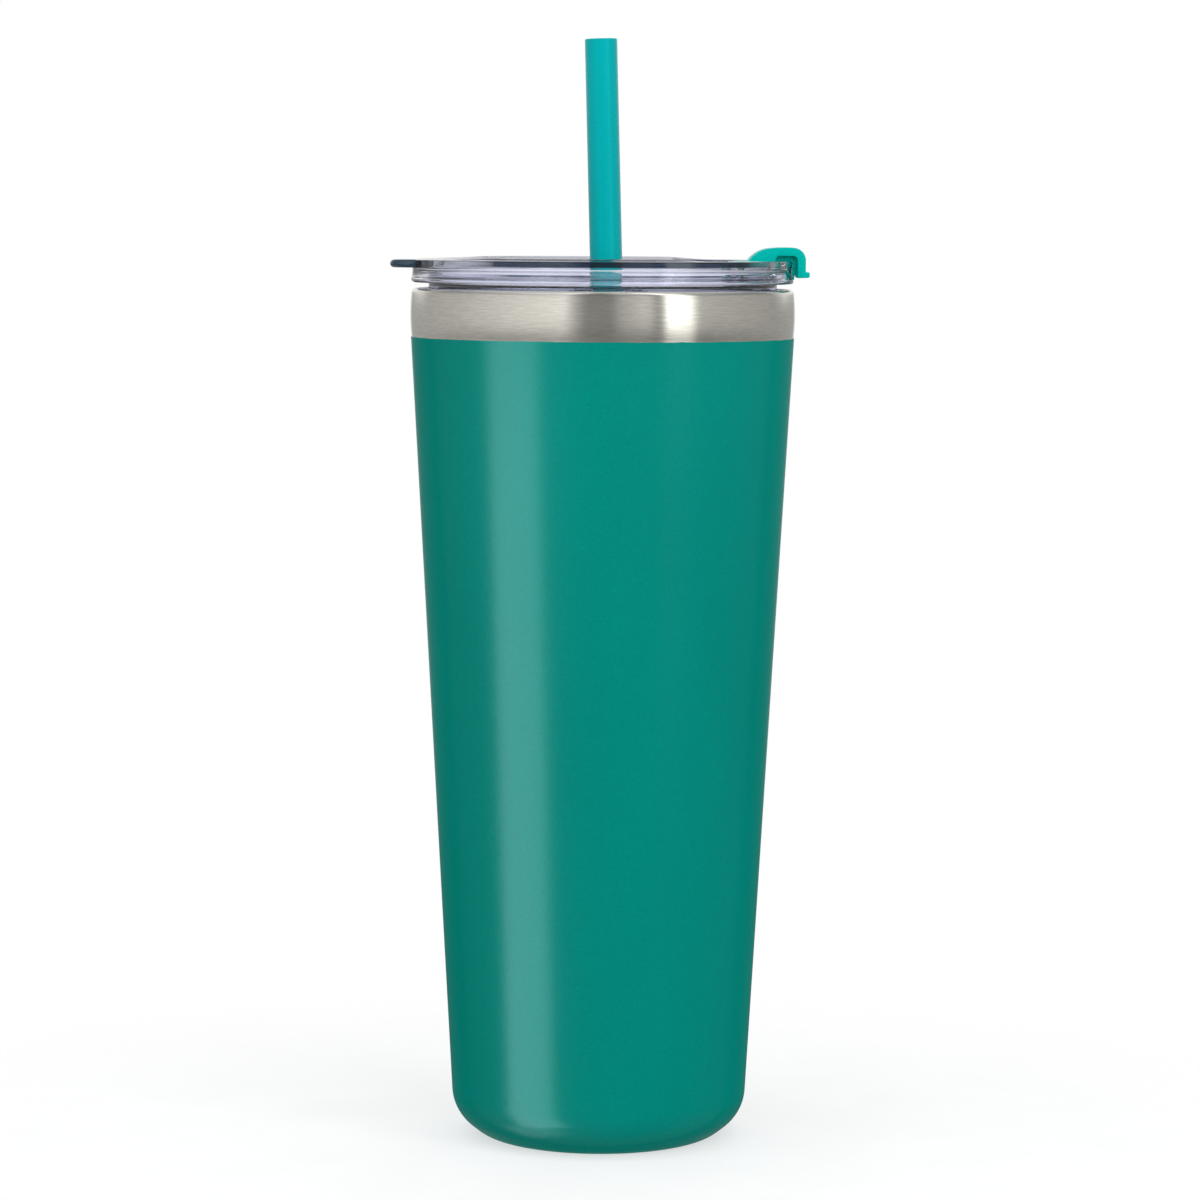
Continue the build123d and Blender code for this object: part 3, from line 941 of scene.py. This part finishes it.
def make_straw_seal():
    low_z, high_z = low("straw_seal").z, high("straw_seal").z
    bore = 3.95
    flange = 6.4
    outline = [
        (bore, low_z, 0.3),
        (flange, low_z, 0.35),
        (flange, DISH_Z - DISH_FLOOR, 0.1),
        (GROMMET_R, DISH_Z - DISH_FLOOR, 0.1),
        (GROMMET_R, DISH_Z, 0.1),
        (flange, DISH_Z, 0.1),
        (flange, high_z, 0.35),
        (bore, high_z, 0.3),
    ]
    piece = lathe("straw_grommet", rounded(outline, closed=True, steps=5), SILICONE_LOOK)
    middle = (low("straw_seal").x + high("straw_seal").x) / 2
    piece.data.transform(Matrix.Translation((middle * MM, 0, 0)))
    return finish_piece(piece, "lid", "clear_silicone", "straw_seal")


def cap_point(back, down):
    """A point of the cap's side view, this far behind its lip's tip and below its roof."""
    return high("flip_cap").x - back, high("flip_cap").z - down


def cap_section():
    """Side view of the cap: hinge end, arched roof, leg and thumb lip."""
    under = low("spout_seal").z + PAD_T
    rise = (HINGE.x + 3.7, HINGE.z + BARREL_R + 0.2)
    crest = cap_point(9.5, 0.25)
    knee = cap_point(0.9, 3.15)
    section = [(HINGE.x, under), (HINGE.x, HINGE.z + BARREL_R), rise]
    section += arc(rise, cap_point(12.1, 1.3), crest, 10)[1:]
    section += arc(crest, cap_point(7.6, 0.06), cap_point(5.7, 0), 5)[1:]
    section += arc(cap_point(3.9, 0.02), cap_point(1.7, 0.9), knee, 12)
    leg = rounded(
        [
            (*knee, 0),
            (*cap_point(0.9, 5.55), 0.25),
            (*cap_point(0, 5.55), 0.3),
            (*cap_point(0, 6.8), 0.45),
            (*cap_point(LEG_BACK, 6.9), 0.2),
            (*cap_point(LEG_BACK, 1.95), 0.9),
            (*cap_point(7.5, 1.95), 0.9),
            (cap_point(8.2, 0)[0], under, 0),
        ],
        steps=6,
    )
    return section + leg[1:]


def web_section():
    """Side view of the web that closes the notch below the cap's roof."""
    leg_x, roof_z = cap_point(LEG_BACK, 1.45)
    back_x = cap_point(8.5, 0)[0]
    foot_z = cap_point(0, 6.35)[1]
    land = SPOUT_Z + CAP_GAP
    return rounded(
        [
            (back_x, land, 0),
            (NOTCH_X + CAP_GAP, land, 0.2),
            (NOTCH_X + CAP_GAP, LEDGE_Z + CAP_GAP, 0.3),
            (leg_x - 0.6, LEDGE_Z + CAP_GAP, 0.4),
            (leg_x - 0.6, foot_z, 0.15),
            (leg_x + 0.3, foot_z, 0),
            (leg_x + 0.3, roof_z, 0),
            (back_x, roof_z, 0),
        ],
        closed=True,
    )


def make_flip_cap():
    cap = prism("flip_cap_shell", cap_section(), CAP_HALF, CAP_LOOK, bevel=0.4)
    combine(cap, prism("web", web_section(), WEB_HALF, CAP_LOOK, bevel=0.25), "UNION")
    ends = ((HINGE.x, -CAP_HALF, HINGE.z), (HINGE.x, CAP_HALF, HINGE.z))
    combine(cap, rod("barrel", BARREL_R, *ends, CAP_LOOK), "UNION")
    past = ((HINGE.x, -CAP_HALF - 1, HINGE.z), (HINGE.x, CAP_HALF + 1, HINGE.z))
    combine(cap, rod("bore", PIN_R + PIN_PLAY, *past, CAP_LOOK), "DIFFERENCE")
    return finish_piece(cap, "flip_cap", "teal_plastic", "flip_cap", sharp=35)


def make_spout_seal():
    grow = SPOUT_WALL - 0.3
    low_z = low("spout_seal").z
    outline = rounded_rect(HOLE_X[0] - grow, HOLE_X[1] + grow, HOLE_HALF + grow, 2.4)
    piece = upright("spout_pad", outline, low_z, low_z + PAD_T, SILICONE_LOOK)
    return finish_piece(piece, "flip_cap", "clear_silicone", "spout_seal", sharp=40)


def make_hinge_pin():
    half = high("hinge_pin").y
    chamfer = 0.25
    outline = [(0.0, -half), (PIN_R - chamfer, -half), (PIN_R, -half + chamfer)]
    outline += [(r, -z) for r, z in reversed(outline)]
    verts, faces = spun(outline, [math.tau * i / 48 for i in range(48)])
    turned = [(x + HINGE.x, z, y + HINGE.z) for x, y, z in verts]
    piece = add_object("hinge_pin_steel", turned, faces, TURNED_LOOK)
    return finish_piece(piece, "lid", "plain_steel", "hinge_pin", sharp=30)


def make_straw():
    """Straight tube along the axis of the straw's slide joint."""
    joint = next(j for j in frame["joints"] if j["name"] == "straw_slide")
    along = Vector(joint["axis"]).normalized()
    radius = high("straw").y
    foot_x = high("straw").x - radius * along.z
    foot = Vector((foot_x, 0, low("straw").z + radius * abs(along.x)))
    length = (high("straw").z - radius * abs(along.x) - foot.z) / along.z
    bore = radius - STRAW_WALL
    corners = [(bore, 0), (radius, 0), (radius, length), (bore, length)]
    outline = [(r, z, 0.3) for r, z in corners]
    shape = rounded(outline, closed=True, steps=5)
    verts, faces = spun(shape, [math.tau * i / 72 for i in range(72)])
    turn = along.to_track_quat("Z", "Y")
    placed = [foot + turn @ Vector(v) for v in verts]
    piece = add_object("straw_tube", placed, faces, STRAW_LOOK)
    return finish_piece(piece, "straw", "straw_plastic", "straw")


# ---------------------------------------------------------------- inner CAD pieces


def dress_inner_nodes():
    """Materials for the CAD pieces that stay hidden between the walls."""
    looks = {
        "radiation_foil": copper_foil_material(),
        "vacuum_base": TURNED_LOOK,
        "vacuum_solder": grainy_material(
            "solder_glass", (0.22, 0.23, 0.24), (0.33, 0.34, 0.35), 900, 0.12, 0.25
        ),
        "getter_clip": TURNED_LOOK,
        "getter_pellet": grainy_material(
            "getter_metal", (0.12, 0.12, 0.13), (0.26, 0.26, 0.27), 2500, 0.55, 0.8, metallic=0.6
        ),
    }
    for node, look in looks.items():
        for slot in frame["nodes"][node].material_slots:
            slot.material = look


# ---------------------------------------------------------------- studio


def paper_material():
    """Bright paper that fades out in a circle round the cup."""
    m = Nodes("floor_paper")
    m.set(Roughness=0.9, Specular_IOR_Level=0.1)
    m.set(Emission_Color=(1, 1, 1, 1), Emission_Strength=0.62)
    fibres = m.noise(m.place, 40)
    m.into(m.mix(m.ramp(fibres, 0, 1), (0.38, 0.38, 0.38), (0.41, 0.41, 0.41)), "Base Color")
    m.into(m.ramp(m.from_axis(), 1, 0, 0.06, 0.2), "Alpha")
    return m


def make_floor():
    """Paper that takes the cup's soft shadow. It throws no light back and isn't reflected."""
    size = 0.5
    mesh = bpy.data.meshes.new("floor")
    corners = [(-size, -size, 0), (size, -size, 0), (size, size, 0), (-size, size, 0)]
    mesh.from_pydata(corners, [], [(0, 1, 2, 3)])
    m = paper_material()
    mesh.materials.append(m.material)
    floor = bpy.data.objects.new("floor", mesh)
    floor.visible_diffuse = False
    floor.visible_glossy = False
    floor.visible_shadow = False
    bpy.context.scene.collection.objects.link(floor)


def area_light(name, azimuth, elevation, distance, width, height, radiance):
    """Soft box aimed at the middle of the cup, in metres and degrees.

    Azimuth 0 is the camera's side, 90 the +X side.
    """
    target = Vector((0, 0, 0.11))
    a, e = math.radians(azimuth), math.radians(elevation)
    away = Vector((math.sin(a) * math.cos(e), -math.cos(a) * math.cos(e), math.sin(e)))
    data = bpy.data.lights.new(name, "AREA")
    data.shape = "RECTANGLE"
    data.size, data.size_y = width, height
    data.energy = radiance * math.pi * width * height
    light = bpy.data.objects.new(name, data)
    light.location = target + away * distance
    light.rotation_euler = away.to_track_quat("Z", "Y").to_euler()
    bpy.context.scene.collection.objects.link(light)
    return light


def make_lights(coat):
    """Two boxes for soft light only, and two low cards that only the coat reflects."""
    boxes = (
        # name, azimuth, elevation, distance, width, height, radiance
        area_light("front", 16, 25, 0.65, 0.6, 0.4, 1.9),
        area_light("top_left", -60, 58, 0.6, 0.4, 0.4, 0.4),
    )
    cards = (
        area_light("low_left_card", -55, -26, 0.85, 0.54, 0.85, 11.0),
        area_light("heel_card", -78, -60, 0.85, 0.5, 0.3, 4.5),
    )
    for light in boxes:
        light.visible_glossy = False
    coat_only = bpy.data.collections.new("coat_only")
    coat_only.objects.link(coat)
    for card in cards:
        card.visible_diffuse = False
        card.light_linking.receiver_collection = coat_only


# Brightness of the room round the cup: (azimuth in degrees, level). A broad soft box stands
# on the left, a narrow bright one on the right, and the camera's side is dark.
ROOM = [
    (-180, 0.95),
    (-171, 0.95),
    (-163, 0.42),
    (-140, 0.50),
    (-95, 0.70),
    (-74, 0.85),
    (-41, 1.15),
    (-23, 1.35),
    (-17, 0.72),
    (-10, 0.34),
    (5, 0.34),
    (11, 0.62),
    (24, 0.86),
    (29, 0.84),
    (32, 0.45),
    (36, 0.45),
    (39, 2.6),
    (52.5, 2.6),
    (58.5, 0.72),
    (91, 0.57),
    (128, 0.46),
    (163, 0.42),
    (171, 0.95),
    (180, 0.95),
]
# The same below table height, where it is darker.
TABLE = [
    (-180, 0.20),
    (-80, 0.25),
    (-27, 0.25),
    (0, 0.20),
    (36, 0.10),
    (64, 0.10),
    (90, 0.20),
    (180, 0.20),
]
# White wall behind the cup, above table height.
BACKDROP = [
    (-180, 1.0),
    (-140, 1.0),
    (-112, 0.0),
    (112, 0.0),
    (140, 1.0),
    (180, 1.0),
]
# Tint and level by height, 0 straight down and 1 straight up. Straight down is bright, as over
# white paper, and there is a bluish band above the height of the eye.
HEIGHTS = [
    (0.0, (2.8, 2.8, 2.8)),
    (0.25, (2.8, 2.8, 2.8)),
    (0.37, (1.0, 1.0, 1.0)),
    (0.60, (1.0, 1.0, 1.0)),
    (0.66, (0.66, 0.67, 0.72)),
    (0.80, (0.66, 0.67, 0.72)),
    (0.88, (1.1, 1.1, 1.1)),
    (1.0, (1.1, 1.1, 1.1)),
]


class Room(Tree):
    """Node tree of the studio round the cup."""

    def __init__(self):
        world = bpy.data.worlds.new("studio")
        bpy.context.scene.world = world
        world.use_nodes = True
        super().__init__(world.node_tree)
        self.tree.nodes.clear()

    def colours(self, value, stops):
        """Colours by the value, as (position from 0 to 1, colour)."""
        made = self.node("ValToRGB")
        elements = made.color_ramp.elements
        while len(elements) < len(stops):
            elements.new(1.0)
        for element, (position, colour) in zip(elements, stops):
            element.position = position
            element.color = (*colour, 1)
        self.link(value, made.inputs["Fac"])
        return made.outputs["Color"]

    def round_about(self, azimuth, stops):
        """Grey levels by the azimuth, as (degrees, level)."""
        return self.colours(azimuth, [((a + 180) / 360, (b, b, b)) for a, b in stops])


def make_world():
    """White for the camera, and a studio room for reflections, refractions and soft light."""
    w = Room()
    x, y, z = w.split(w.node("TexCoord").outputs["Generated"])
    angle = w.math("ARCTAN2", x, w.math("MULTIPLY", y, -1))
    azimuth = w.ramp(angle, 0, 1, -math.pi, math.pi)
    below_table = w.ramp(z, 0, 1, -0.115, -0.165)
    above_table = w.ramp(z, 0, 1, -0.01, 0.05)
    level = w.mix(below_table, w.round_about(azimuth, ROOM), w.round_about(azimuth, TABLE))
    wall = w.mix(1.0, w.round_about(azimuth, BACKDROP), above_table, "MULTIPLY")
    level = w.mix(1.0, level, wall, "LIGHTEN")
    heights = w.colours(w.ramp(z, 0, 1, -1, 1), HEIGHTS)
    studio = w.node("Background")
    w.link(w.mix(1.0, level, heights, "MULTIPLY"), studio.inputs["Color"])
    white = w.node("Background", Color=(1, 1, 1, 1))
    seen = w.node("MixShader")
    w.link(w.node("LightPath").outputs["Is Camera Ray"], seen.inputs["Fac"])
    w.link(studio.outputs["Background"], seen.inputs[1])
    w.link(white.outputs["Background"], seen.inputs[2])
    out = w.node("OutputWorld")
    w.link(seen.outputs["Shader"], out.inputs["Surface"])


def make_camera():
    """Long lens a metre in front of the cup, a little above the lid and looking slightly down."""
    data = bpy.data.cameras.new("camera")
    data.lens = 131.1
    data.sensor_width = 36
    data.clip_end = 20
    camera = bpy.data.objects.new("camera", data)
    stand = Matrix.Translation((-0.00026, -1.0, 0.2106))
    down = math.radians(4.96)
    roll = math.radians(0.31)
    aim = Matrix.Rotation(math.pi / 2 - down, 4, "X") @ Matrix.Rotation(roll, 4, "Z")
    camera.matrix_world = stand @ aim
    bpy.context.scene.collection.objects.link(camera)
    bpy.context.scene.camera = camera


make_outer_shell()
coat_piece = make_powder_coat()
make_inner_vessel()
make_base_cover()
make_lid()
make_gasket()
make_straw_seal()
make_flip_cap()
make_spout_seal()
make_hinge_pin()
make_straw()
dress_inner_nodes()
make_floor()
make_lights(coat_piece)
make_world()
make_camera()
bpy.context.scene.view_settings.view_transform = "Standard"
